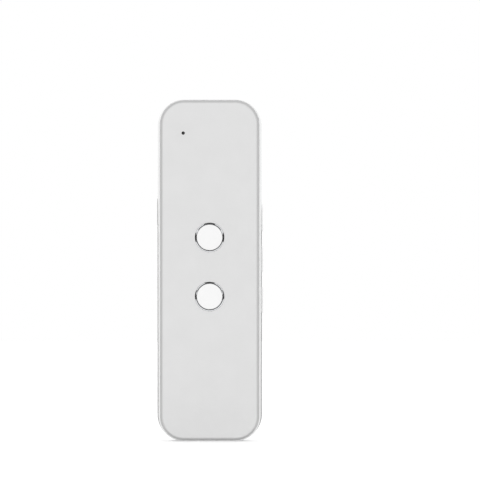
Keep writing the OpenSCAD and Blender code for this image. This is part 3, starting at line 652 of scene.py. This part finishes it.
narrowKey = {"side": "right", "width": 2.4 * mm, "corner": 1.15 * mm, "crown": 0.08 * mm}
wideKey = {"side": "left", "width": 6.0 * mm, "corner": 1.2 * mm, "crown": 0.14 * mm}
sideKeys = {"upper": narrowKey, "middle": narrowKey, "lower": narrowKey, "left": wideKey}
key = {
    "edge": 0.35 * mm,
    "flangeOver": 0.95 * mm,     # the flange behind the wall is longer than the key by this at each end
    "flangeWider": 0.4 * mm,
    "flangeRadius": 0.6 * mm,
    "flangeFrom": 0.5 * mm,      # where the flange starts and ends above the nub's end
    "flangeTo": 1.2 * mm,
    "nubHalf": (0.7 * mm, 1.2 * mm),
    "nubRadius": 0.15 * mm,
    "edgeTurn": 84,              # where the round edge gives way to the crown, in degrees
    "crownFoot": 0.9,            # how far in the crown starts, as a part of the edge
    "crownTurn": 20,             # where the crown's ellipse starts, in degrees
    "cornerSteps": 12,
}
for name, shape in sideKeys.items():
    low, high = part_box(name + "_side_key")
    halfLength = (high[2] - low[2]) / 2 - key["flangeOver"] + band["slotGap"]
    cutOut(middleFrame, slotCutter(
        shape["side"], (0, (low[2] + high[2]) / 2), (shape["width"] / 2 + band["slotGap"], halfLength),
        shape["corner"] + band["slotGap"], band["slotDepth"], bandHalf, band["slotChamfer"]
    ))

usbOpening = {"gap": 0.4 * mm, "cornerRadius": 1.0 * mm, "chamfer": 0.15 * mm, "depth": 4 * mm}
usbLow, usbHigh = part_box("usb_shell")
usbHalf = [(usbHigh[k] - usbLow[k]) / 2 + usbOpening["gap"] for k in (0, 1)]
cutOut(middleFrame, slotCutter(
    "bottom", (0, (usbLow[1] + usbHigh[1]) / 2), usbHalf, usbOpening["cornerRadius"], usbOpening["depth"],
    0, usbOpening["chamfer"]
))
print("middle frame")

cap = {
    "diameter": 10.5 * mm,
    "proud": 0.15 * mm,
    "dome": 0.3 * mm,
    "edge": 0.2 * mm,
    "wall": 1.1 * mm,
    "flangeRadius": 6.3 * mm,
    "flangeGap": 0.1 * mm,       # between the flange and the inside of the cover
    "flangeThickness": 0.6 * mm,
    "stemRadius": 1.5 * mm,
    "domeSteps": 15,
    "edgeTurn": 84,              # where the round edge meets the dome, in degrees
}


# The ring's section: a sleeve that lines the hole, a step that lies in the cover, and two slopes
# that meet in a round ridge. Each slope leaves the ridge where its arc is as steep as the slope.
def ringSection():
    sleeve, seat = ringInner + ring["sleeve"], faceLevel - ring["seat"]
    centre = (ringOuter - ring["ridgeIn"], faceLevel + ring["proud"] - ring["ridge"])
    ridge = arc(centre, [ring["ridge"]] * 2, 90 - ring["outerSlope"], 90 + ring["innerSlope"])
    outerEdge = ridge[0, 1] - (ringOuter - ridge[0, 0]) * math.tan(math.radians(ring["outerSlope"]))
    innerEdge = ridge[-1, 1] - (ridge[-1, 0] - ringInner) * math.tan(math.radians(ring["innerSlope"]))
    return np.vstack([
        [[ringInner, insideLevel], [sleeve, insideLevel], [sleeve, seat], [ringOuter, seat]],
        [[ringOuter, outerEdge]], ridge, [[ringInner, innerEdge]],
    ])


# The cap's section: a slice of a ball for the dome, a round edge, the wall, the flange, back up
# inside the wall and down the stem to its end.
def capSection(stemEnd):
    radius, rise, edge = cap["diameter"] / 2, cap["dome"], cap["edge"]
    edgeLevel = faceLevel + cap["proud"]
    ball = (radius ** 2 + rise ** 2) / (2 * rise)
    x = np.linspace(0, radius - edge, cap["domeSteps"] + 1)
    dome = np.stack([x, edgeLevel + rise - ball + np.sqrt(ball ** 2 - x ** 2)], axis=-1)
    corner = arc((radius - edge, dome[-1, 1] - edge), (edge, edge), cap["edgeTurn"], 0)
    flangeTop = insideLevel - cap["flangeGap"]
    flangeBottom = flangeTop - cap["flangeThickness"]
    under, inner = edgeLevel - cap["wall"], radius - cap["wall"]
    return np.vstack([dome, corner, [
        [radius, flangeTop], [cap["flangeRadius"], flangeTop], [cap["flangeRadius"], flangeBottom],
        [inner, flangeBottom], [inner, under], [cap["stemRadius"], under],
        [cap["stemRadius"], stemEnd], [0, stemEnd],
    ]])


for name, height in buttonHeights.items():
    ringSheet = turned(ringSection(), (0, height), ring["steps"])
    pieceFrom(
        closedMesh(name + "_ring", "front", [ringSheet], closed=True), name + "_chrome_ring", "housing",
        [name + "_button_ring"], ringChrome
    )
    stemEnd = -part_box(name + "_button_cap")[1][1]
    capSheet = turned(capSection(stemEnd), (0, height))
    pieceFrom(
        closedMesh(name + "_cap", "front", [capSheet]), name + "_domed_cap", name + "_button",
        [name + "_button_cap"], buttonGloss
    )
print("front buttons")


# A side key as rounded rectangles by level: the nub, the flange, the bar with its round corners, a
# round edge, and a low elliptical crown that closes along the bar's middle line.
def keyMesh(name, shape):
    low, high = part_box(name + "_side_key")
    tip, nubEnd = max(abs(low[0]), abs(high[0])), min(abs(low[0]), abs(high[0]))
    flangeUp = (high[2] - low[2]) / 2
    halfLength, half, edge = flangeUp - key["flangeOver"], shape["width"] / 2, key["edge"]
    shoulder = tip - shape["crown"]
    corner = arc((half - edge, shoulder - edge), (edge, edge), 0, key["edgeTurn"], steps=8)
    crownRadii = (half - key["crownFoot"] * edge, shape["crown"])
    crown = arc((0, shoulder), crownRadii, key["crownTurn"], 90, steps=12)[1:]
    flangeFrom, flangeTo = nubEnd + key["flangeFrom"], nubEnd + key["flangeTo"]
    halfAcross, level = np.vstack([[[half, flangeTo]], corner, crown]).T
    halfAcross = np.maximum(halfAcross, 0)
    radius = np.clip(shape["corner"] - half + halfAcross, 0, halfAcross)
    bar = np.stack([halfAcross, halfLength - half + halfAcross, radius, level], axis=-1)
    flange = [half + key["flangeWider"], flangeUp, key["flangeRadius"]]
    nub = [*key["nubHalf"], key["nubRadius"]]
    foot = [nub + [nubEnd], nub + [flangeFrom], flange + [flangeFrom], flange + [flangeTo]]
    shell = roundedLoft(*np.vstack([foot, bar]).T, (0, (low[2] + high[2]) / 2), key["cornerSteps"])
    return closedMesh(name + "_key", shape["side"], [shell], [[shell[:, 0]]])


for name, shape in sideKeys.items():
    slot, finish = ("cover_plastic", keySatin) if name == "left" else ("button_plastic", buttonGloss)
    pieceFrom(
        keyMesh(name, shape), name + "_side_key_bar", name + "_key", [name + "_side_key"], finish
    )
print("side keys")

view = {
    "lens": 300,
    "sensor": 36,
    "pictureSize": 480,
    "plateRows": 339.8,               # how many pixels high the front plate stands in the picture
    "plateCentre": (209.6, 270.37),   # where its middle lies, in pixels
    "clip": (0.01, 20),
}
camera = addObject("camera", bpy.data.cameras.new("camera"))
camera.data.lens, camera.data.sensor_width = view["lens"], view["sensor"]
camera.data.clip_start, camera.data.clip_end = view["clip"]
metresPerPixel = 2 * coverHalfHeight / view["plateRows"]
camera.location = (
    (view["pictureSize"] / 2 - view["plateCentre"][0]) * metresPerPixel,
    -faceLevel - view["pictureSize"] * metresPerPixel * view["lens"] / view["sensor"],
    middleHeight + (view["plateCentre"][1] - view["pictureSize"] / 2) * metresPerPixel,
)
camera.rotation_euler = (math.pi / 2, 0, 0)
bpy.context.scene.camera = camera

light = {
    "world": 0.88,               # what the white surroundings give the surfaces
    "frontPlace": (0, -2.5, 0.3),
    "frontSize": (1.2, 0.5),
    "frontPower": 8.5,
    "rearPlace": (0, 1.7, 1.1),
    "rearSize": (3.6, 1.8),
    "rearPower": 7.0,
    "aim": (0, 0, 0.07),
    "floorHalf": 1.6,
    "floorLevel": 0.95,
    "floorLift": 0.25,           # what is added to the floor where the camera and gloss see it
    "cardReach": 0.4,            # how far the dark cards stand from the object
    # three cards and a belt: the middle and half of the angle that each spans about the line of
    # sight, and the angles from the line of sight between which it hangs
    "cards": [(0, 22, 15, 62), (90, 22, 15, 62), (180, 22, 15, 62), (0, 180, 66, 86)],
    "cardSteps": (16, 25),
    # a flag that slopes up behind the object and one that lies in front of it: the half width, the
    # place along Y and the height of each one's two ends
    "flags": [[(0.12, 0.02, 0.001), (0.6, 1.0, 0.105)], [(0.13, -0.02, 0.001), (0.13, -0.055, 0.001)]],
    "cardLevel": 0.1,
}


# One for the rays that see the background, straight or in gloss or glass, and none for the rest.
def seenRays(tree):
    path = addNode(tree, "LightPath")
    seen = combine(tree, path.outputs["Is Camera Ray"], path.outputs["Is Glossy Ray"], "MAXIMUM")
    return combine(tree, seen, path.outputs["Is Transmission Ray"], "MAXIMUM")


# White surroundings that are seen at full strength and light the surfaces more softly.
def whiteWorld():
    world = bpy.data.worlds.new("studio")
    bpy.context.scene.world = world
    world.use_nodes = True
    tree = world.node_tree
    background = tree.nodes["Background"]
    background.inputs["Color"].default_value = (1, 1, 1, 1)
    strength = between(tree, seenRays(tree), light["world"], 1, 0, 1)
    tree.links.new(strength, background.inputs["Strength"])


# A soft rectangular lamp aimed at the object, kept out of glossy reflections.
def softbox(name, place, size, power):
    lamp = addObject(name, bpy.data.lights.new(name, "AREA"))
    lamp.data.shape = "RECTANGLE"
    lamp.data.size, lamp.data.size_y = size
    lamp.data.energy = power
    lamp.location = place
    lamp.rotation_euler = (Vector(light["aim"]) - Vector(place)).to_track_quat("-Z", "Y").to_euler()
    lamp.visible_glossy = False


# Dark cards and flags that only gloss shows, so that chrome gets its dark arcs and the frame its grey
# outline. A card is a piece of a sphere round the aim, reach times (sin a cos b, -cos a, sin a sin b),
# where a is the angle from the line of sight and b the angle about it. A flag is one flat sheet.
def darkCards():
    points, quads = [], []
    for about, half, start, end in light["cards"]:
        fromSight = np.radians(np.linspace(start, end, light["cardSteps"][0]))
        aboutSight = np.radians(np.linspace(about - half, about + half, light["cardSteps"][1]))
        a, b = np.meshgrid(fromSight, aboutSight, indexing="ij")
        sphere = np.stack([np.sin(a) * np.cos(b), -np.cos(a), np.sin(a) * np.sin(b)], axis=-1)
        quads.append(gridQuads(*a.shape) + sum(map(len, points)))
        points.append(light["cardReach"] * sphere.reshape(-1, 3) + light["aim"])
    for flag in light["flags"]:
        corners = [(side * half, along, level) for half, along, level in flag for side in (-1, 1)]
        quads.append(gridQuads(2, 2) + sum(map(len, points)))
        points.append(np.array(corners))
    mesh = bpy.data.meshes.new("dark cards")
    mesh.from_pydata(np.vstack(points).tolist(), [], np.vstack(quads).tolist())
    mesh.materials.append(newMaterial("cardBlack", grey(light["cardLevel"]), 1.0, Specular_IOR_Level=0)[0])
    cards = addObject("dark cards", mesh)
    cards.visible_camera = False
    cards.visible_diffuse = False
    cards.visible_shadow = False
    cards.visible_transmission = False
    cards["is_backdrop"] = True


# A pale floor that keeps the object's shadow. What the lamps leave short of white is lifted by the
# same amount everywhere, but only for the rays that see the floor.
def paleFloor():
    half = light["floorHalf"]
    corners = [(-half, -half, 0), (half, -half, 0), (half, half, 0), (-half, half, 0)]
    mesh = bpy.data.meshes.new("floor")
    mesh.from_pydata(corners, [], [(0, 1, 2, 3)])
    floor = addObject("floor", mesh)
    material, tree, shader = newMaterial("floorPaint", grey(light["floorLevel"]), 1.0, Specular_IOR_Level=0)
    shader.inputs["Emission Color"].default_value = (*grey(light["floorLift"]), 1)
    tree.links.new(seenRays(tree), shader.inputs["Emission Strength"])
    mesh.materials.append(material)
    floor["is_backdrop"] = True


whiteWorld()
softbox("front softbox", light["frontPlace"], light["frontSize"], light["frontPower"])
softbox("rear softbox", light["rearPlace"], light["rearSize"], light["rearPower"])
paleFloor()
darkCards()
bpy.context.scene.view_settings.view_transform = "Standard"
print("studio")

low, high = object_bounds()
